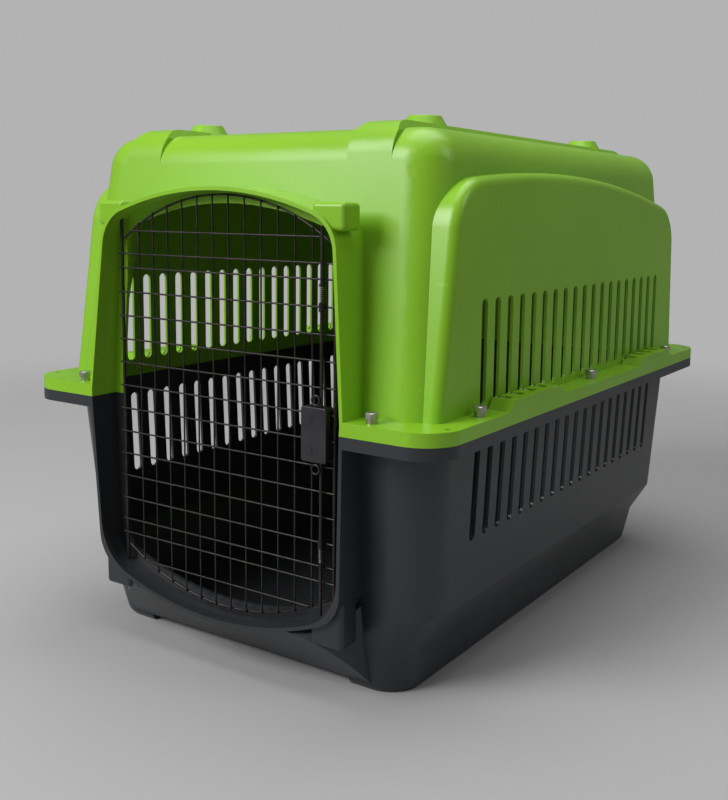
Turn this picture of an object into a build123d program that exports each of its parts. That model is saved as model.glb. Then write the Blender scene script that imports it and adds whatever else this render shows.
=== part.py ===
from build123d import *
import os
from math import atan, degrees, sqrt

# The kennel stands on z = 0, with its door towards -Y and the floor's middle at the origin.
# All lengths are in millimetres.

# How far a cutting form reaches past the face it opens
overrun = 1

# Flanges, where the two shells meet
flange_length = 800
flange_width = 576
flange_corner = 42
parting_height = 286
upper_flange_depth = 14
lower_flange_depth = 13
flange_plate = 3.5
flange_skirt = 4
cut_margin = 5
flange_bar_rise = 11
flange_bar_width = 26
flange_bar_ramp = 18
front_bar_start = -255
front_bar_end = -112
rear_bar_start = 136
rear_bar_end = 268

# Shell walls
wall = 3.5
floor_thickness = 4
body_corner = 48

# Lower tub
tub_half_width = 257
tub_half_length = 368
tub_side_draft = 0.045
tub_end_draft = 0.088
tub_bend_height = 92
skid_top_height = 50
skid_top_half_width = 222
skid_top_half_length = 347
skid_half_width = 214
skid_half_length = 338
skid_corner = 40
skid_edge_rise = 5
skid_edge_inset = 4
skid_inner_edge = 147
skid_depth = 8
chin_height = 66
chin_reach = 390
chin_top_slope = 0.8
chin_shelf_depth = 46
chin_half_width = 180
chin_corner = 75
chin_back = 300
chin_foot = 338

# Upper canopy
canopy_half_width = 254
canopy_half_length = 367
canopy_side_draft = 0.05
canopy_end_draft = 0.142
canopy_foot_corner = 36
canopy_head_corner = 46
roof_height = 587
roof_edge_radius = 40
ridge_inner = 132
ridge_outer = 186
ridge_flank = 8
ridge_rise = 8
ridge_root = 40
bump_x = 158
bump_y = 220
bump_base_radius = 24
bump_top_radius = 18
bump_rise = 10
bump_edge_radius = 2

# Side panels, bulged out of the canopy's walls
upper_panel_bulge = 6
upper_panel_depth = 30
upper_panel_half_length = 356
upper_panel_side_draft = 0.04
panel_overlap = 14
upper_panel_end_draft = 0.12
upper_panel_shoulder = 520
upper_panel_crown = 546
upper_panel_roll = 11
upper_panel_corner = 60

# Vents
vent_count = 19
vent_pitch = 29.3
vent_width = 12.6
upper_vent_bottom = 305
upper_vent_top = 416
lower_vent_bottom = 159.5
lower_vent_top = 262.5
vent_reach_inside = 228
vent_depth = 50

# Door collar: an outline of two drafted sides between an arched head and an arched sill
portal_head = 522
portal_head_radius = 400
portal_sill = 57
portal_sill_radius = 373
portal_waist_height = 295
portal_waist_half = 176
portal_side_rise = 0.088
portal_side_fall = 0.037
portal_margin = 60
corner_zone = 20
rim_head_corner = 42
rim_sill_corner = 60
tunnel_corner = 36
collar_corner = 40
collar_wall = 4
collar_back = 330
tunnel_back = 318
rim_depth = 12
rim_waist_reach = 400
rim_upper_lean = 0.045
rim_lower_lean = 0.032
stop_lip_width = 13
stop_lip_front = 364
stop_lip_depth = 4

# Door
door_reach = 372
hinge_half_span = 151
rod_radius = 1.9
wire_radius = 1
border_wire_radius = 1.25
weld_gap = 0.02
door_head = 518
door_head_radius = 245
door_sill = 64
door_sill_radius = 275
upright_count = 12
upright_pitch = 22.35
cross_wire_heights = [477, 451, 435, 407.5, 380, 353, 326, 299, 272, 245, 218.5, 192, 165, 139.5, 123, 93]
cross_wire_overhang = 2.5
hinge_rod_top = 502
hinge_rod_bottom = 76
pivot_clearance = 0.06
bore_end_gap = 3

# Rod sockets in the collar
socket_inner = 132
socket_outer = 172
socket_front = 388
socket_back = 359
socket_edge_radius = 5
head_socket_bottom = 483
head_socket_top = 511
sill_socket_bottom = 60
sill_socket_top = 112

# Latch
latch_x = 139
latch_rod_radius = 1.8
upper_bolt_tip = 488
lower_bolt_tip = 89
latch_throw = 16
bolt_end_spacing = 8
keeper_clearance = 0.5
cover_left = 116
cover_right = 148
cover_bottom = 250
cover_top = 307
cover_wall = 1.2
cover_corner = 3
back_plate_thickness = 1.5
rivet_radius = 2
rivet_head_radius = 2.8
rivet_head_height = 0.6
rivet_inset_x = 12
rivet_inset_z = 12
rod_slide_gap = 0.08
finger_loop_radius = 4.8
finger_wire_radius = 1.2
loop_cover_gap = 1
guide_length = 9
guide_wall = 1.2
upper_guide_wire = 407.5
lower_guide_wire = 165
spring_length = 16
rod_collar_radius = 2.8
rod_collar_length = 3
spring_wire_radius = 0.35
spring_mean_radius = 2.35
spring_turns = 8

# Bolts
bolt_side_x = 272
bolt_side_ys = [-292, 0, 289]
bolt_end_x = 204
bolt_end_y = 385
bolt_radius = 4
bolt_hole_radius = 4.5
bolt_head_across = 13
bolt_head_height = 6.5
bolt_crown_spread = 0.55
bolt_crown_chamfer = 0.9
spacer_radius = 5.5
spacer_height = 4.5
washer_radius = 8
washer_thickness = 1.6
nut_height = 6.5
bolt_tail = 1.4
bolt_boss_radius = 11.5
thread_clearance = 0.05
tie_hole_radius = 3
tie_hole_x = 277
tie_hole_y = 365


def rounded_plan(half_x, half_y, corner, height):
    """A rounded rectangle that lies flat at one height."""
    return Pos(0, 0, height) * RectangleRounded(2 * half_x, 2 * half_y, corner)


def tub_form(inset, bottom):
    """The lower tub's solid form, drawn in from its outside by inset."""
    rise = parting_height - tub_bend_height
    bend_half_width = tub_half_width - tub_side_draft * rise
    bend_half_length = tub_half_length - tub_end_draft * rise
    lower = [
        rounded_plan(skid_half_width - skid_edge_inset - inset, skid_half_length - skid_edge_inset - inset,
                     skid_corner - skid_edge_inset - inset, 0),
        rounded_plan(skid_half_width - inset, skid_half_length - inset, skid_corner - inset, skid_edge_rise),
        rounded_plan(skid_top_half_width - inset, skid_top_half_length - inset, skid_corner - inset,
                     skid_top_height),
        rounded_plan(bend_half_width - inset, bend_half_length - inset, body_corner - inset, tub_bend_height),
        rounded_plan(tub_half_width - inset, tub_half_length - inset, body_corner - inset, parting_height),
    ]
    above = Box(flange_length, flange_length, flange_length, align=(Align.CENTER, Align.CENTER, Align.MIN))
    return loft(lower, ruled=True) & Pos(0, 0, bottom) * above


def chin_form(inset):
    """The chin under the collar, where the tub's front reaches forward to the collar's rim."""
    shelf = chin_height - inset
    shelf_back = chin_reach - chin_shelf_depth
    points = [(-chin_foot + inset, skid_depth + inset), (-chin_reach + inset, shelf),
              (-shelf_back, shelf + chin_top_slope * chin_shelf_depth), (-chin_back, shelf),
              (-chin_back, skid_depth + inset)]
    profile = Plane.YZ * make_face(Polyline(*points, close=True))
    plan = rounded_plan(chin_half_width - inset, chin_reach - inset, chin_corner - inset, 0)
    return extrude(profile, chin_half_width, both=True) & extrude(plan, parting_height)


def canopy_form(inset, top):
    """The canopy's solid form under a flat roof at the given height."""
    rise = top - parting_height
    foot = rounded_plan(canopy_half_width - inset, canopy_half_length - inset, canopy_foot_corner - inset,
                        parting_height)
    head = rounded_plan(canopy_half_width - inset - canopy_side_draft * rise,
                        canopy_half_length - inset - canopy_end_draft * rise,
                        canopy_head_corner - inset, top)
    form = loft([foot, head], ruled=True)
    return fillet(form.faces().sort_by(Axis.Z)[-1].edges(), roof_edge_radius - inset)


def ridge_slab(inset):
    """Two long prisms that pick the roof's raised ridges out of a taller canopy."""
    slab = Part()
    for side in (-1, 1):
        points = [
            (side * (ridge_inner + inset), roof_height - ridge_root),
            (side * (ridge_outer - inset), roof_height - ridge_root),
            (side * (ridge_outer - inset), roof_height - wall),
            (side * (ridge_outer - ridge_flank - inset), roof_height + ridge_rise + overrun),
            (side * (ridge_inner + ridge_flank + inset), roof_height + ridge_rise + overrun),
            (side * (ridge_inner + inset), roof_height - wall),
        ]
        profile = Plane.XZ * make_face(Polyline(*points, close=True))
        slab += extrude(profile, flange_length / 2, both=True)
    return slab


def ridged_canopy(inset):
    """The canopy with its two roof ridges."""
    base = canopy_form(inset, roof_height - inset)
    raised = canopy_form(inset, roof_height + ridge_rise - inset)
    return base + (raised & ridge_slab(inset))


def side_panel(side, inset):
    """The canopy's side panel, which stands out of the wall under an arched head."""
    lean = degrees(atan(upper_panel_side_draft))
    low = inset - panel_overlap
    high = upper_panel_shoulder - inset - parting_height
    peak = upper_panel_crown - inset - parting_height
    foot_half = upper_panel_half_length - inset
    head_half = foot_half - upper_panel_end_draft * high
    outline = make_face([
        Line((-head_half, high), (-foot_half, low)),
        Line((-foot_half, low), (foot_half, low)),
        Line((foot_half, low), (head_half, high)),
        ThreePointArc((head_half, high), (0, peak), (-head_half, high)),
    ])
    outline = fillet(outline.vertices().group_by(Axis.Y)[-1], upper_panel_corner - inset)
    reach = canopy_half_width + upper_panel_bulge - inset
    face_plane = Plane(origin=(side * reach, 0, parting_height), x_dir=(0, side, 0), z_dir=(side, 0, 0))
    panel = extrude(face_plane.rotated((-lean, 0, 0)) * outline, -upper_panel_depth)
    front = panel.faces().sort_by(Axis.X)[-1 if side > 0 else 0]
    return fillet(front.edges(), upper_panel_roll - inset)


def portal_face(grow, head_corner, sill_corner):
    """The door opening's outline in the XZ plane, grown outwards by a margin."""
    top = portal_head + portal_margin
    bottom = portal_sill - portal_margin
    waist = portal_waist_half + grow
    top_half = waist - portal_side_rise * (top - portal_waist_height)
    bottom_half = waist - portal_side_fall * (portal_waist_height - bottom)
    sides = make_face(Polyline((-top_half, top), (top_half, top), (waist, portal_waist_height),
                               (bottom_half, bottom), (-bottom_half, bottom),
                               (-waist, portal_waist_height), close=True))
    head = Pos(0, portal_head - portal_head_radius) * Circle(portal_head_radius + grow)
    sill = Pos(0, portal_sill + portal_sill_radius) * Circle(portal_sill_radius + grow)
    face = (sides & head & sill).face()
    head_points = [v for v in face.vertices() if v.Y > portal_waist_height + corner_zone]
    face = fillet(head_points, head_corner + grow)
    sill_points = [v for v in face.vertices() if v.Y < portal_waist_height - corner_zone]
    return fillet(sill_points, sill_corner + grow)


def portal_prism(grow, head_corner, sill_corner, front, back):
    """A solid with the door opening's outline, from reach front to reach back before the centre."""
    face = Plane(origin=(0, -back, 0), x_dir=(1, 0, 0), z_dir=(0, -1, 0)) * portal_face(grow, head_corner,
                                                                                       sill_corner)
    return extrude(face, front - back)


def rim_cutter():
    """What lies in front of the collar's rim, which leans back above and below the flange."""
    head_reach = rim_waist_reach - rim_upper_lean * (roof_height - parting_height)
    sill_reach = rim_waist_reach - rim_lower_lean * parting_height
    points = [(-rim_waist_reach - portal_margin, 0), (-sill_reach, 0), (-rim_waist_reach, parting_height),
              (-head_reach, roof_height), (-rim_waist_reach - portal_margin, roof_height)]
    profile = Plane.YZ * make_face(Polyline(*points, close=True))
    return extrude(profile, flange_width, both=True)


def half_space(above):
    """Everything above or below the parting plane."""
    vertical = Align.MIN if above else Align.MAX
    block = Box(2 * flange_length, 2 * flange_length, 2 * flange_length,
                align=(Align.CENTER, Align.CENTER, vertical))
    return Pos(0, 0, parting_height) * block


def vertical_rod(x, y, bottom, top, radius):
    """A round upright rod between two heights."""
    return Pos(x, y, bottom) * Cylinder(radius, top - bottom,
                                        align=(Align.CENTER, Align.CENTER, Align.MIN))


# Places that follow from the sizes above
upper_flange_top = parting_height + upper_flange_depth
lower_flange_bottom = parting_height - lower_flange_depth
washer_seat = parting_height - flange_plate
door_y = -door_reach
cross_wire_layer = -(rod_radius + weld_gap + wire_radius)
upright_layer = cross_wire_layer + 2 * wire_radius + weld_gap
border_wire_layer = upright_layer + wire_radius + weld_gap + border_wire_radius
wires_front_y = door_y + cross_wire_layer - wire_radius
guide_radius = latch_rod_radius + rod_slide_gap + guide_wall
latch_rod_y = wires_front_y - weld_gap - guide_radius
cover_back_y = wires_front_y - weld_gap
cover_front_y = latch_rod_y - guide_radius - cover_wall
back_plate_y = door_y + upright_layer + wire_radius + weld_gap
bolt_places = [(side * bolt_side_x, y) for side in (-1, 1) for y in bolt_side_ys]
bolt_places += [(side * bolt_end_x, end * bolt_end_y) for side in (-1, 1) for end in (-1, 1)]


def bolt_columns(radius, bottom, top):
    """One round column at every bolt."""
    columns = Part()
    for x, y in bolt_places:
        columns += vertical_rod(x, y, bottom, top, radius)
    return columns


def flange_ring(bottom, top, groove_bottom, groove_top, core):
    """A flange: a plate round the shell's core with a skirt at its rim."""
    half_x = flange_width / 2
    half_y = flange_length / 2
    slab = extrude(rounded_plan(half_x, half_y, flange_corner, bottom), top - bottom)
    groove = extrude(rounded_plan(half_x - flange_skirt, half_y - flange_skirt,
                                  flange_corner - flange_skirt, groove_bottom), groove_top - groove_bottom)
    return slab - (groove - extrude(core, groove_top - groove_bottom))


def flange_bar(side, start, end):
    """A stiffening bar on the upper flange's outer edge, with a ramp at each end."""
    points = [(start, 0), (start + flange_bar_ramp / 2, flange_bar_rise),
              (end - flange_bar_ramp, flange_bar_rise), (end, 0)]
    profile = Plane.YZ * make_face(Polyline(*points, close=True))
    bar = extrude(profile, -side * flange_bar_width)
    return Pos(side * flange_width / 2, 0, upper_flange_top) * bar


def vents(bottom, top):
    """The row of upright slots through both side walls."""
    slots = Part()
    for side in (-1, 1):
        for index in range(vent_count):
            y = (index - (vent_count - 1) / 2) * vent_pitch
            outline = Plane.YZ * Pos(y, (bottom + top) / 2) * SlotOverall(top - bottom, vent_width,
                                                                         rotation=90)
            slots += Pos(side * vent_reach_inside, 0, 0) * extrude(outline, side * vent_depth)
    return slots


def socket_blocks(bottom, top):
    """The blocks beside the opening that hold the ends of the door's rods."""
    blocks = Part()
    for side in (-1, 1):
        centre = side * (socket_inner + socket_outer) / 2
        block = Box(socket_outer - socket_inner, socket_front - socket_back, top - bottom)
        block = fillet(block.edges(), socket_edge_radius)
        blocks += Pos(centre, -(socket_front + socket_back) / 2, (bottom + top) / 2) * block
    return blocks


def rod_bores():
    """Blind bores in the collar for the hinge rod and for the two latch bolts."""
    hinge_bore = vertical_rod(-hinge_half_span, door_y, hinge_rod_bottom - bore_end_gap,
                              hinge_rod_top + bore_end_gap, rod_radius + pivot_clearance)
    latch_bore = vertical_rod(latch_x, latch_rod_y, lower_bolt_tip - latch_throw - bore_end_gap,
                              upper_bolt_tip + latch_throw + bore_end_gap,
                              latch_rod_radius + keeper_clearance)
    return hinge_bore + latch_bore


def stop_lip():
    """The lip behind the door that the door closes against."""
    outer = portal_prism(collar_wall / 2, tunnel_corner, tunnel_corner, stop_lip_front,
                         stop_lip_front - stop_lip_depth)
    inner = portal_prism(-stop_lip_width, tunnel_corner, tunnel_corner, stop_lip_front + overrun,
                         stop_lip_front - stop_lip_depth - overrun)
    return outer - inner


def cut_common(shell):
    """The collar's tunnel and rim, and every hole that both shells share."""
    shell -= portal_prism(0, rim_head_corner, rim_sill_corner, rim_waist_reach + overrun,
                          rim_waist_reach - rim_depth - overrun)
    shell -= portal_prism(0, tunnel_corner, tunnel_corner, rim_waist_reach - rim_depth, tunnel_back)
    shell -= rim_cutter()
    shell += stop_lip()
    shell -= rod_bores()
    shell -= bolt_columns(bolt_hole_radius, lower_flange_bottom - overrun, upper_flange_top + overrun)
    for x in (-tie_hole_x, tie_hole_x):
        for y in (-tie_hole_y, tie_hole_y):
            shell -= vertical_rod(x, y, lower_flange_bottom - overrun, upper_flange_top + overrun,
                                  tie_hole_radius)
    return shell


def make_lower_shell():
    """The dark tub: walls, floor, skids, chin, lower half of the collar and its flange."""
    shell = tub_form(0, 0) - Box(2 * skid_inner_edge, flange_length, 2 * skid_depth)
    shell += chin_form(0)
    core = rounded_plan(tub_half_width + overrun, tub_half_length + overrun, body_corner,
                        lower_flange_bottom - cut_margin)
    shell += flange_ring(lower_flange_bottom, parting_height + cut_margin, lower_flange_bottom - cut_margin,
                         parting_height - flange_plate, core)
    shell += portal_prism(collar_wall, collar_corner, collar_corner, rim_waist_reach, collar_back)
    shell += socket_blocks(sill_socket_bottom, sill_socket_top)
    floor_height = skid_depth + floor_thickness
    cavity = tub_form(wall, floor_height)
    chin_room = chin_form(wall) - portal_prism(collar_wall, collar_corner, collar_corner,
                                               rim_waist_reach, tunnel_back - overrun)
    cavity += chin_room - socket_blocks(sill_socket_bottom, sill_socket_top)
    gutter_band = Box(flange_width, flange_length, 2 * (floor_height + overrun))
    gutter_band -= Box(2 * (skid_inner_edge + wall), flange_length, flange_length)
    cavity += tub_form(wall, floor_thickness) & gutter_band
    shell -= cavity
    return cut_common(shell) & half_space(False) - vents(lower_vent_bottom, lower_vent_top)


def stacking_bump():
    """A round bump that rises out of a roof ridge, with its foot inside the roof."""
    foot = ridge_rise + wall / 2
    foot_radius = bump_base_radius + (bump_base_radius - bump_top_radius) * foot / bump_rise
    bump = Cone(foot_radius, bump_top_radius, foot + bump_rise, align=(Align.CENTER, Align.CENTER, Align.MIN))
    return fillet(bump.edges().sort_by(Axis.Z)[-1], bump_edge_radius)


def make_upper_shell():
    """The canopy: walls, roof ridges, bumps, side panels, upper half of the collar and its flange."""
    shell = ridged_canopy(0)
    room = ridged_canopy(wall)
    for side in (-1, 1):
        shell += side_panel(side, 0)
        room += side_panel(side, wall)
    groove_bottom = parting_height - 2 * cut_margin
    core = rounded_plan(canopy_half_width + upper_panel_bulge + overrun, canopy_half_length + overrun,
                        canopy_foot_corner, groove_bottom)
    shell += flange_ring(parting_height - cut_margin, upper_flange_top, groove_bottom,
                         upper_flange_top - flange_plate, core)
    shell += bolt_columns(bolt_boss_radius, parting_height - cut_margin, upper_flange_top - flange_plate / 2)
    for side in (-1, 1):
        shell += flange_bar(side, front_bar_start, front_bar_end)
        shell += flange_bar(side, rear_bar_start, rear_bar_end)
        for y in (-bump_y, bump_y):
            shell += Pos(side * bump_x, y, roof_height - wall / 2) * stacking_bump()
    shell += portal_prism(collar_wall, collar_corner, collar_corner, rim_waist_reach, collar_back)
    shell += socket_blocks(head_socket_bottom, head_socket_top)
    shell -= room
    return cut_common(shell) & half_space(True) - vents(upper_vent_bottom, upper_vent_top)


def make_bolts():
    """Hex-head bolts that stand on the spacers and reach through both flanges."""
    bolts = Part()
    head_seat = upper_flange_top + spacer_height
    shank_end = washer_seat - washer_thickness - nut_height - bolt_tail
    for x, y in bolt_places:
        head = extrude(Pos(x, y, head_seat) * RegularPolygon(bolt_head_across / 2, 6, major_radius=False),
                       bolt_head_height)
        crown = extrude(Pos(x, y, head_seat) * Circle(bolt_head_across / 2 + bolt_crown_spread),
                        bolt_head_height)
        bolts += head & chamfer(crown.edges().group_by(Axis.Z)[-1], bolt_crown_chamfer)
        bolts += vertical_rod(x, y, shank_end, head_seat, bolt_radius)
    return bolts


def make_rings(bottom, height, outer_radius):
    """One plain ring round every bolt."""
    rings = bolt_columns(outer_radius, bottom, bottom + height)
    return rings - bolt_columns(bolt_radius + thread_clearance, bottom - overrun, bottom + height + overrun)


def make_nuts():
    """Hex nuts under the lower flange."""
    nuts = Part()
    bottom = washer_seat - washer_thickness - nut_height
    for x, y in bolt_places:
        nuts += extrude(Pos(x, y, bottom) * RegularPolygon(bolt_head_across / 2, 6, major_radius=False),
                        nut_height)
    return nuts - bolt_columns(bolt_radius + thread_clearance, bottom - overrun, washer_seat)


def head_height(x):
    """The door head wire's centre height at one place across the door."""
    return door_head - door_head_radius + sqrt(door_head_radius ** 2 - x ** 2)


def sill_height(x):
    """The door sill wire's centre height at one place across the door."""
    return door_sill + door_sill_radius - sqrt(door_sill_radius ** 2 - x ** 2)


def border_wire(height_at):
    """An arched wire between the two side rods."""
    end = hinge_half_span - rod_radius - weld_gap - border_wire_radius
    y = door_y + border_wire_layer
    start_point = (-end, y, height_at(end))
    path = Edge.make_three_point_arc(start_point, (0, y, height_at(0)), (end, y, height_at(end)))
    section = Plane(origin=path @ 0, z_dir=path % 0) * Circle(border_wire_radius)
    return sweep(section, path)


def make_uprights():
    """The door's upright wires, welded to the fronts of the head and sill wires."""
    wires = Part()
    for index in range(upright_count):
        x = (index - (upright_count - 1) / 2) * upright_pitch
        wires += vertical_rod(x, door_y + upright_layer, sill_height(x) - border_wire_radius,
                              head_height(x) + border_wire_radius, wire_radius)
    return wires


def cross_wire_half(height):
    """Half the length of a cross wire: past the side rods, or short of the arch where it is narrower."""
    limit = hinge_half_span + cross_wire_overhang
    if height > head_height(hinge_half_span):
        drop = door_head - height - border_wire_radius
        return min(limit, sqrt(2 * door_head_radius * drop - drop ** 2))
    if height < sill_height(hinge_half_span):
        drop = height - door_sill - border_wire_radius
        return min(limit, sqrt(2 * door_sill_radius * drop - drop ** 2))
    return limit


def make_cross_wires():
    """The door's cross wires, welded to the fronts of the uprights and the side rods."""
    wires = Part()
    for height in cross_wire_heights:
        half = cross_wire_half(height)
        wires += Pos(0, door_y + cross_wire_layer, height) * Rot(0, 90, 0) * Cylinder(wire_radius, 2 * half)
    return wires


def latch_box(inset, front, back):
    """A rounded block with the latch cover's outline."""
    width = cover_right - cover_left - 2 * inset
    height = cover_top - cover_bottom - 2 * inset
    centre = Plane(origin=((cover_left + cover_right) / 2, back, (cover_top + cover_bottom) / 2),
                   x_dir=(1, 0, 0), z_dir=(0, -1, 0))
    return extrude(centre * RectangleRounded(width, height, cover_corner - inset), back - front)


def rivet_places():
    """The latch rivets' places, one near the top and one near the bottom."""
    x = cover_left + rivet_inset_x
    return [(x, cover_bottom + rivet_inset_z), (x, cover_top - rivet_inset_z)]


def cross_pin(x, z, front, back, radius):
    """A round pin that runs front to back."""
    return Pos(x, (front + back) / 2, z) * Rot(90, 0, 0) * Cylinder(radius, back - front)


def make_latch_cover():
    """The dark cover in front of the latch: a shallow tray, open towards the door."""
    cover = latch_box(0, cover_front_y, cover_back_y)
    outer_face = cover.faces().sort_by(Axis.Y)[0]
    cover = fillet(outer_face.edges(), cover_wall)
    cover -= latch_box(cover_wall, cover_front_y + cover_wall, cover_back_y + overrun)
    cover -= vertical_rod(latch_x, latch_rod_y, cover_bottom - overrun, cover_top + overrun,
                          latch_rod_radius + rod_slide_gap)
    for x, z in rivet_places():
        cover += cross_pin(x, z, cover_front_y + cover_wall / 2, cover_back_y, rivet_radius + cover_wall)
        cover -= cross_pin(x, z, cover_front_y - overrun, cover_back_y + overrun,
                           rivet_radius + thread_clearance)
    return cover


def make_latch_back_plate():
    """The plate behind the wires that the latch cover is clamped against."""
    plate = latch_box(0, back_plate_y, back_plate_y + back_plate_thickness)
    for x, z in rivet_places():
        plate -= cross_pin(x, z, back_plate_y - overrun, back_plate_y + back_plate_thickness + overrun,
                           rivet_radius + thread_clearance)
    return plate


def make_rivets():
    """Rivets that clamp the cover and the back plate together across the wires."""
    rivets = Part()
    back = back_plate_y + back_plate_thickness
    for x, z in rivet_places():
        rivets += cross_pin(x, z, cover_front_y, back, rivet_radius)
        rivets += cross_pin(x, z, cover_front_y - rivet_head_height, cover_front_y, rivet_head_radius)
        rivets += cross_pin(x, z, back, back + rivet_head_height, rivet_head_radius)
    return rivets


def finger_loop(direction):
    """A ring of wire on the front of a latch bolt, outside the cover."""
    edge = cover_top if direction > 0 else cover_bottom
    height = edge + direction * (loop_cover_gap + finger_loop_radius + finger_wire_radius)
    y = latch_rod_y - latch_rod_radius - finger_wire_radius - weld_gap
    x = latch_x - finger_loop_radius
    return Pos(x, y, height) * Rot(90, 0, 0) * Torus(finger_loop_radius, finger_wire_radius)


def rod_sleeve(height, length, outer_radius, bore_radius):
    """A short tube round the latch bolt's line."""
    sleeve = vertical_rod(latch_x, latch_rod_y, height, height + length, outer_radius)
    return sleeve - vertical_rod(latch_x, latch_rod_y, height - overrun, height + length + overrun,
                                 bore_radius)


def latch_spring(bottom, length):
    """A compression spring round the latch bolt."""
    pitch = (length - 2 * spring_wire_radius) / spring_turns
    path = Helix(pitch, length - 2 * spring_wire_radius, spring_mean_radius)
    section = Plane(origin=path @ 0, z_dir=path % 0) * Circle(spring_wire_radius)
    coil = sweep(section, path, is_frenet=True)
    return Pos(latch_x, latch_rod_y, bottom + spring_wire_radius) * coil


def write_part(name, shape):
    """One STEP file for one piece or group of like pieces."""
    export_step(shape, os.path.join("parts", name + ".step"))


os.makedirs("parts", exist_ok=True)
write_part("lower_shell", make_lower_shell())
write_part("upper_shell", make_upper_shell())
write_part("flange_bolts", make_bolts())
write_part("bolt_spacers", make_rings(upper_flange_top, spacer_height, spacer_radius))
write_part("bolt_washers", make_rings(washer_seat - washer_thickness, washer_thickness, washer_radius))
write_part("bolt_nuts", make_nuts())

write_part("door_hinge_rod", vertical_rod(-hinge_half_span, door_y, hinge_rod_bottom, hinge_rod_top,
                                          rod_radius))
write_part("door_latch_side_rod", vertical_rod(hinge_half_span, door_y,
                                               sill_height(hinge_half_span) - rod_radius,
                                               head_height(hinge_half_span) + rod_radius, rod_radius))
write_part("door_head_wire", border_wire(head_height))
write_part("door_sill_wire", border_wire(sill_height))
write_part("door_upright_wires", make_uprights())
write_part("door_cross_wires", make_cross_wires())

write_part("latch_cover", make_latch_cover())
write_part("latch_back_plate", make_latch_back_plate())
write_part("latch_rivets", make_rivets())

latch_middle = (cover_bottom + cover_top) / 2
for name, direction, tip, guide_wire in [("upper", 1, upper_bolt_tip, upper_guide_wire),
                                         ("lower", -1, lower_bolt_tip, lower_guide_wire)]:
    inner_end = latch_middle + direction * bolt_end_spacing / 2
    spring_inner_end = guide_wire + direction * guide_length / 2
    spring_outer_end = spring_inner_end + direction * spring_length
    collar_outer_end = spring_outer_end + direction * rod_collar_length
    bolt = vertical_rod(latch_x, latch_rod_y, min(tip, inner_end), max(tip, inner_end), latch_rod_radius)
    write_part(name + "_latch_bolt", bolt)
    write_part(name + "_finger_loop", finger_loop(direction))
    write_part(name + "_bolt_guide", rod_sleeve(guide_wire - guide_length / 2, guide_length, guide_radius,
                                                latch_rod_radius + rod_slide_gap))
    write_part(name + "_bolt_collar", rod_sleeve(min(spring_outer_end, collar_outer_end), rod_collar_length,
                                                 rod_collar_radius, latch_rod_radius + weld_gap))
    write_part(name + "_latch_spring", latch_spring(min(spring_inner_end, spring_outer_end), spring_length))
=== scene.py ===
from math import cos, radians, sin

import bmesh
import bpy
from mathutils import Matrix, Vector


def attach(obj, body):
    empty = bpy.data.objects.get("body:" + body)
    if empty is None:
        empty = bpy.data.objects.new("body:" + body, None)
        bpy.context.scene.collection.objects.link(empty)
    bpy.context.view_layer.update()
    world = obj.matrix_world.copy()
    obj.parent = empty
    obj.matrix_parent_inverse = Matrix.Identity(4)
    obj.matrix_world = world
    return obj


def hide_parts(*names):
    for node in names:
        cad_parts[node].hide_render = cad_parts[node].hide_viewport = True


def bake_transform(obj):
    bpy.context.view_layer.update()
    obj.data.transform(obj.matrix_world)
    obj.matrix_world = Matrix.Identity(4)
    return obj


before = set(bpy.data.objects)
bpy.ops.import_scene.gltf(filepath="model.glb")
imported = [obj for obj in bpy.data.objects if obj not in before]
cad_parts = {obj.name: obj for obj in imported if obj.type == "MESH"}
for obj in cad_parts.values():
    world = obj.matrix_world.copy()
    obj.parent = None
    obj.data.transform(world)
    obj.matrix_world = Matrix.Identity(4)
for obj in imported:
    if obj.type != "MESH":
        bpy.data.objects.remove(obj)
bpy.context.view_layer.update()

# The ground: a round pale sheet that keeps the kennel's shadow near its skids.
# It thins out to nothing further off, so that it passes into the even grey behind.

GROUND_RADIUS = 2.6
GROUND_SOLID_RADIUS = 0.75
GROUND_GREY = 0.42
GROUND_ROUGHNESS = 0.9
GROUND_SHINE = 0.1
GROUND_SEGMENTS = 96
OBJECT_COORDINATES = 3


class Shade:
    """A socket of a material, with arithmetic that adds the nodes it needs."""

    def __init__(self, tree, socket):
        self.tree = tree
        self.socket = socket

    def node(self, kind, settings=None, inputs=None, output=0):
        made = self.tree.nodes.new(kind)
        for name, value in (settings or {}).items():
            if name == "stops":
                ramp = made.color_ramp.elements
                while len(ramp) < len(value):
                    ramp.new(0.5)
                for element, (place, colour) in zip(ramp, value):
                    element.position = place
                    element.color = (*colour, 1)
            else:
                setattr(made, name, value)
        for name, value in (inputs or {}).items():
            if isinstance(value, Shade):
                self.tree.links.new(value.socket, made.inputs[name])
            else:
                made.inputs[name].default_value = value
        return Shade(self.tree, made.outputs[output])

    def maths(self, operation, *values):
        return self.node("ShaderNodeMath", {"operation": operation}, dict(enumerate(values)))

    def __add__(self, other):
        return self.maths("ADD", self, other)

    def __radd__(self, other):
        return self.maths("ADD", other, self)

    def __sub__(self, other):
        return self.maths("SUBTRACT", self, other)

    def __rsub__(self, other):
        return self.maths("SUBTRACT", other, self)

    def __mul__(self, other):
        return self.maths("MULTIPLY", self, other)

    def __rmul__(self, other):
        return self.maths("MULTIPLY", other, self)


def new_material(name):
    """An empty material: its surface shader's node and a Shade to build with."""
    material = bpy.data.materials.new(name)
    material.use_nodes = True
    tree = material.node_tree
    tree.nodes.clear()
    output = tree.nodes.new("ShaderNodeOutputMaterial")
    surface = tree.nodes.new("ShaderNodeBsdfPrincipled")
    tree.links.new(surface.outputs[0], output.inputs[0])
    return material, surface, Shade(tree, surface.outputs[0])


def feed(surface, name, value):
    """Links a Shade to one of the surface shader's sockets."""
    value.tree.links.new(value.socket, surface.inputs[name])


def linked(name, mesh):
    """An object with this mesh, in the scene."""
    made = bpy.data.objects.new(name, mesh)
    bpy.context.collection.objects.link(made)
    return made


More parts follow.
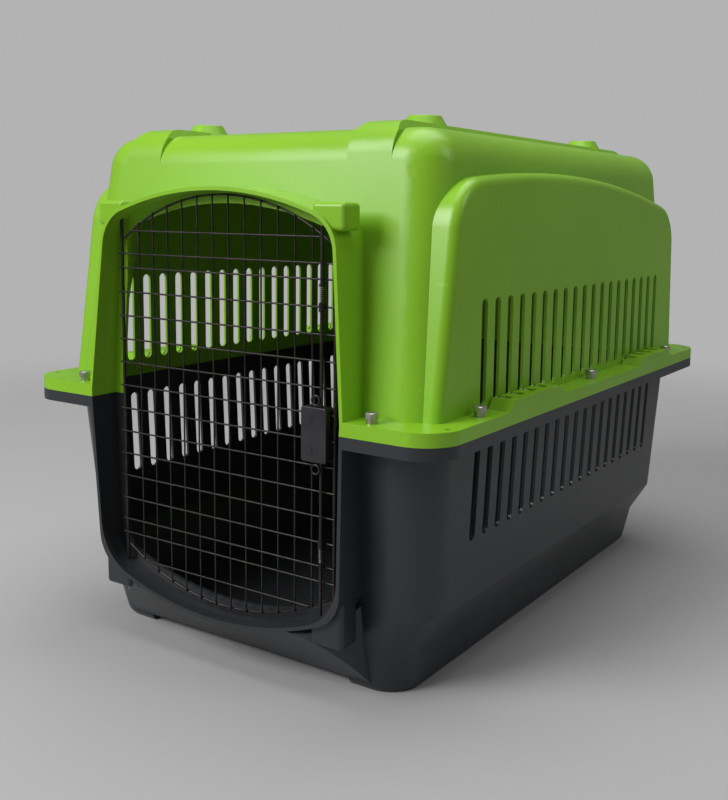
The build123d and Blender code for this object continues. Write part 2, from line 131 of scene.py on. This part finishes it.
def ground_material():
    material, surface, shade = new_material("studio_ground")
    place = shade.node("ShaderNodeTexCoord", output=OBJECT_COORDINATES)
    reach = shade.node("ShaderNodeVectorMath", {"operation": "LENGTH"}, {0: place}, output=1)
    fade = shade.node("ShaderNodeMapRange", {"interpolation_type": "SMOOTHERSTEP"},
                      {"Value": reach, "From Min": GROUND_SOLID_RADIUS, "From Max": GROUND_RADIUS,
                       "To Min": 1.0, "To Max": 0.0})
    feed(surface, "Alpha", fade)
    surface.inputs["Base Color"].default_value = (GROUND_GREY, GROUND_GREY, GROUND_GREY, 1)
    surface.inputs["Roughness"].default_value = GROUND_ROUGHNESS
    surface.inputs["Specular IOR Level"].default_value = GROUND_SHINE
    return material


def make_ground():
    shape = bmesh.new()
    bmesh.ops.create_circle(shape, cap_ends=True, segments=GROUND_SEGMENTS, radius=GROUND_RADIUS)
    mesh = bpy.data.meshes.new("studio_ground")
    shape.to_mesh(mesh)
    shape.free()
    mesh.materials.append(ground_material())
    linked("studio_ground", mesh)


make_ground()

# The camera stands where the photographer stood, a little lower than the roof and to the latch side.
# Its lens and its small shift follow from the picture's own perspective.

CAMERA_PLACE = Vector((0.7371, -1.1807, 0.5038))
CAMERA_YAW = radians(33.3815)
CAMERA_PITCH = radians(7.7761)
CAMERA_ROLL = radians(0.7353)
FOCAL_PIXELS = 1014.13
CENTRE_PIXEL = (380.33, 348.43)
PICTURE_SIZE = (728, 800)
VIEW_DEPTH = 50


def make_camera():
    data = bpy.data.cameras.new("camera")
    camera = linked("camera", data)
    long_side = max(PICTURE_SIZE)
    data.lens = FOCAL_PIXELS * data.sensor_width / long_side
    data.shift_x = (PICTURE_SIZE[0] / 2 - CENTRE_PIXEL[0]) / long_side
    data.shift_y = (CENTRE_PIXEL[1] - PICTURE_SIZE[1] / 2) / long_side
    data.clip_end = VIEW_DEPTH
    right = Vector((cos(CAMERA_YAW), sin(CAMERA_YAW), 0))
    ahead = Vector((-sin(CAMERA_YAW) * cos(CAMERA_PITCH), cos(CAMERA_YAW) * cos(CAMERA_PITCH),
                    -sin(CAMERA_PITCH)))
    above = right.cross(ahead)
    tilted_right = right * cos(CAMERA_ROLL) + above * sin(CAMERA_ROLL)
    tilted_above = above * cos(CAMERA_ROLL) - right * sin(CAMERA_ROLL)
    turn = Matrix((tilted_right, tilted_above, -ahead)).transposed()
    camera.matrix_world = Matrix.Translation(CAMERA_PLACE) @ turn.to_4x4()
    bpy.context.scene.camera = camera


make_camera()

# Studio light: a strong soft box in front to the left, a broad one overhead and a weak one at the side.
# The camera sees the backdrop's even grey, while the room that lights the kennel is dimmer.

SOFT_BOXES = [("front_box", (-1.3, -2.9, 2.3), (2.0, 2.0), 118),
              ("side_box", (2.8, 0.4, 2.4), (0.8, 1.6), 12),
              ("top_box", (0.0, 0.2, 3.0), (2.2, 2.6), 50)]
AIM = Vector((0, 0, 0.3))
BACKDROP_GREY = 0.451
STUDIO_GREY = 0.17

bpy.context.scene.view_settings.view_transform = "Standard"

for name, place, size, power in SOFT_BOXES:
    data = bpy.data.lights.new(name, "AREA")
    data.shape = "RECTANGLE"
    data.size = size[0]
    data.size_y = size[1]
    data.energy = power
    lamp = linked(name, data)
    lamp.location = place
    lamp.rotation_euler = (AIM - Vector(place)).to_track_quat("-Z", "Y").to_euler()


def make_world():
    world = bpy.data.worlds.new("studio")
    bpy.context.scene.world = world
    world.use_nodes = True
    tree = world.node_tree
    tree.nodes.clear()
    output = tree.nodes.new("ShaderNodeOutputWorld")
    blend = tree.nodes.new("ShaderNodeMixShader")
    tree.links.new(tree.nodes.new("ShaderNodeLightPath").outputs["Is Camera Ray"], blend.inputs[0])
    for index, grey in enumerate((STUDIO_GREY, BACKDROP_GREY)):
        background = tree.nodes.new("ShaderNodeBackground")
        background.inputs["Color"].default_value = (grey, grey, grey, 1)
        tree.links.new(background.outputs[0], blend.inputs[index + 1])
    tree.links.new(blend.outputs[0], output.inputs[0])


make_world()

# The tub: semi-gloss charcoal plastic, moulded in one with its skids, chin and lower flange.
# Every crease has the mould's small radius. The surface is faintly wavy, with a fine grain,
# and handling leaves duller patches and pale hairline scuffs on it.

TUB_CHARCOAL = (0.023, 0.026, 0.031)
MOULD_EDGE_RADIUS = 0.0016
MOULD_CREASE = radians(24)
SMOOTH_LIMIT = radians(40)
FLAT_ENOUGH = radians(0.6)
SAME_POINT = 0.00002
PLASTIC_INDEX = 1.5
RELIEF = 0.001
WAVE_SCALE = 4.0
GRAIN_SCALE = 900.0
PATCH_SCALE = 14.0
TONE_BAND = (0.35, 0.65)
SCUFFED_BAND = (0.5, 0.65)
HAIRLINE_TURN = (0.5, 0.3, 0.8)
HAIRLINE_STRETCH = (9.0, 260.0, 140.0)
HAIRLINE_BAND = (0.68, 0.76)
HAIRLINE_DEPTH = 0.02
HAIRLINE_DULLING = 0.1
PATCH_DULLING = 0.12
PALE_LIFT = 0.004


def plastic(name, colour, roughness, wave, grain, tone, scuff):
    """Moulded plastic: wave and grain are its relief, tone and scuff its change of colour."""
    material, surface, shade = new_material(name)
    place = shade.node("ShaderNodeTexCoord", output=OBJECT_COORDINATES)
    broad = shade.node("ShaderNodeTexNoise", None, {"Vector": place, "Scale": WAVE_SCALE, "Detail": 2.0})
    fine = shade.node("ShaderNodeTexNoise", None, {"Vector": place, "Scale": GRAIN_SCALE, "Detail": 1.0})
    patch = shade.node("ShaderNodeTexNoise", None, {"Vector": place, "Scale": PATCH_SCALE, "Detail": 4.0})
    stretched = shade.node("ShaderNodeMapping", None, {"Vector": place, "Rotation": HAIRLINE_TURN,
                                                        "Scale": HAIRLINE_STRETCH})
    lines = shade.node("ShaderNodeTexNoise", None, {"Vector": stretched, "Scale": 1.0, "Detail": 2.0})
    scratch = shade.node("ShaderNodeMapRange", None,
                         {"Value": lines, "From Min": HAIRLINE_BAND[0], "From Max": HAIRLINE_BAND[1]})
    scuffed = shade.node("ShaderNodeMapRange", None,
                         {"Value": patch, "From Min": SCUFFED_BAND[0], "From Max": SCUFFED_BAND[1]})
    hairlines = scratch * scuffed
    darker = tuple(part * (1 - tone) for part in colour)
    tint = shade.node("ShaderNodeValToRGB", {"stops": list(zip(TONE_BAND, (darker, colour)))},
                      {"Fac": broad})
    paler = tuple(min(1.0, part * (1 + scuff) + PALE_LIFT) for part in colour)
    worn = shade.node("ShaderNodeMix", {"data_type": "RGBA"}, {0: hairlines, 6: tint, 7: (*paler, 1)},
                      output=2)
    feed(surface, "Base Color", worn)
    feed(surface, "Roughness",
         roughness + PATCH_DULLING * (patch - 0.5) + HAIRLINE_DULLING * hairlines)
    height = wave * broad + grain * fine - HAIRLINE_DEPTH * hairlines
    bump = shade.node("ShaderNodeBump", None, {"Strength": 1.0, "Distance": RELIEF, "Height": height})
    feed(surface, "Normal", bump)
    surface.inputs["IOR"].default_value = PLASTIC_INDEX
    return material


def moulded(node, name, material):
    """A shell with the small radius that a mould leaves on every crease."""
    shape = bmesh.new()
    shape.from_mesh(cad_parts[node].data)
    bmesh.ops.remove_doubles(shape, verts=shape.verts, dist=SAME_POINT)
    bmesh.ops.dissolve_limit(shape, angle_limit=FLAT_ENOUGH, verts=shape.verts, edges=shape.edges)
    creases = [edge for edge in shape.edges if len(edge.link_faces) == 2
               and edge.calc_face_angle(0) > MOULD_CREASE]
    bmesh.ops.bevel(shape, geom=creases, offset=MOULD_EDGE_RADIUS, segments=2, profile=0.5, material=-1,
                    affect="EDGES", clamp_overlap=True)
    mesh = bpy.data.meshes.new(name)
    shape.to_mesh(mesh)
    shape.free()
    mesh.materials.clear()
    mesh.materials.append(material)
    mesh.polygons.foreach_set("use_smooth", [True] * len(mesh.polygons))
    mesh.set_sharp_from_angle(angle=SMOOTH_LIMIT)
    piece = linked(name, mesh)
    weighted = piece.modifiers.new("flat faces stay flat", "WEIGHTED_NORMAL")
    weighted.keep_sharp = True
    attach(piece, "shell")
    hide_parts(node)


tub_plastic = plastic("tub_plastic", TUB_CHARCOAL, roughness=0.36, wave=1.0, grain=0.03, tone=0.15, scuff=0.9)
moulded("lower_shell", "tub", tub_plastic)

# The canopy: glossy lime green plastic, with its upper flange, roof ridges, bumps and side panels.
# It is moulded as the tub is, in a colour that varies a little from place to place.

CANOPY_GREEN = (0.235, 0.505, 0.018)

canopy_plastic = plastic("canopy_plastic", CANOPY_GREEN, roughness=0.33, wave=1.2, grain=0.02, tone=0.1,
                         scuff=0.25)
moulded("upper_shell", "canopy", canopy_plastic)

# The ten flange fasteners: hex bolts on spacer sleeves, with washers and nuts under the lower flange.
# They are zinc plated, in bright and duller, faintly yellow patches.

ZINC_BRIGHT = (0.64, 0.62, 0.59)
ZINC_DULL = (0.43, 0.40, 0.36)
BARE_METAL = (0.42, 0.38, 0.34)
COAT_RELIEF = 0.0001
COAT_GRAIN_SCALE = 1600.0
COAT_TONE_BAND = (0.3, 0.7)
COAT_DULLING = 0.2
CHIP_SCALE = 520.0
CHIP_BAND = (0.70, 0.74)


def coated_steel(name, bright, dull, metallic, roughness, patch_scale, chips):
    """A metal finish in two tones, with small bare spots where it is chipped."""
    material, surface, shade = new_material(name)
    place = shade.node("ShaderNodeTexCoord", output=OBJECT_COORDINATES)
    patch = shade.node("ShaderNodeTexNoise", None, {"Vector": place, "Scale": patch_scale, "Detail": 3.0})
    spots = shade.node("ShaderNodeTexNoise", None, {"Vector": place, "Scale": CHIP_SCALE, "Detail": 2.0})
    fine = shade.node("ShaderNodeTexNoise", None, {"Vector": place, "Scale": COAT_GRAIN_SCALE, "Detail": 1.0})
    tint = shade.node("ShaderNodeValToRGB", {"stops": list(zip(COAT_TONE_BAND, (dull, bright)))},
                      {"Fac": patch})
    chipped = shade.node("ShaderNodeMapRange", None,
                         {"Value": spots, "From Min": CHIP_BAND[0], "From Max": CHIP_BAND[1],
                          "To Min": 0.0, "To Max": chips})
    worn = shade.node("ShaderNodeMix", {"data_type": "RGBA"}, {0: chipped, 6: tint, 7: (*BARE_METAL, 1)},
                      output=2)
    feed(surface, "Base Color", worn)
    feed(surface, "Roughness", roughness + COAT_DULLING * (patch - 0.5))
    bump = shade.node("ShaderNodeBump", None, {"Strength": 1.0, "Distance": COAT_RELIEF, "Height": fine})
    feed(surface, "Normal", bump)
    surface.inputs["Metallic"].default_value = metallic
    return material


def dress(names, material):
    for name in names:
        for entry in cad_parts[name].material_slots:
            entry.material = material


zinc_plate = coated_steel("zinc_plate", ZINC_BRIGHT, ZINC_DULL, metallic=1.0, roughness=0.36,
                          patch_scale=60.0, chips=0.2)
dress(["flange_bolts", "bolt_spacers", "bolt_washers", "bolt_nuts"], zinc_plate)

# The door's wires: two side rods, an arched head and sill wire, twelve uprights and sixteen cross wires.
# Their thin dark coating is satin, with a brownish cast and a few chips.

WIRE_DARK = (0.022, 0.019, 0.019)
WIRE_PALE = (0.042, 0.034, 0.031)

wire_coat = coated_steel("wire_coat", WIRE_PALE, WIRE_DARK, metallic=0.55, roughness=0.34,
                         patch_scale=60.0, chips=0.35)
dress(["door_hinge_rod", "door_latch_side_rod", "door_head_wire", "door_sill_wire", "door_upright_wires",
       "door_cross_wires"], wire_coat)

# The latch's cover, with the back plate and the two rivets that clamp it to the wires.
# All are powder coated in a near-black grey, finely textured.

COVER_PALE = (0.024, 0.024, 0.028)
COVER_DARK = (0.017, 0.017, 0.020)

cover_coat = coated_steel("cover_coat", COVER_PALE, COVER_DARK, metallic=0.2, roughness=0.45,
                          patch_scale=40.0, chips=0.15)
dress(["latch_cover", "latch_back_plate", "latch_rivets"], cover_coat)

# The two latch bolts in their guides, each with a finger loop and a collar for its spring.
# They have the same coating as the door's wires.

dress(["upper_bolt_guide", "lower_bolt_guide", "upper_latch_bolt", "lower_latch_bolt",
       "upper_finger_loop", "lower_finger_loop", "upper_bolt_collar", "lower_bolt_collar"], wire_coat)

# The two latch springs: bare wire coils between a guide on the door and a collar on the bolt.

SPRING_BRIGHT = (0.46, 0.45, 0.44)
SPRING_DULL = (0.30, 0.29, 0.28)

spring_steel = coated_steel("spring_steel", SPRING_BRIGHT, SPRING_DULL, metallic=1.0, roughness=0.32,
                            patch_scale=60.0, chips=0.1)


def latch_spring(node):
    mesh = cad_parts[node].data.copy()
    mesh.materials.clear()
    mesh.materials.append(spring_steel)
    coil = linked(node + "_coil", mesh)
    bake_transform(coil)
    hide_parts(node)


latch_spring("upper_latch_spring")
latch_spring("lower_latch_spring")
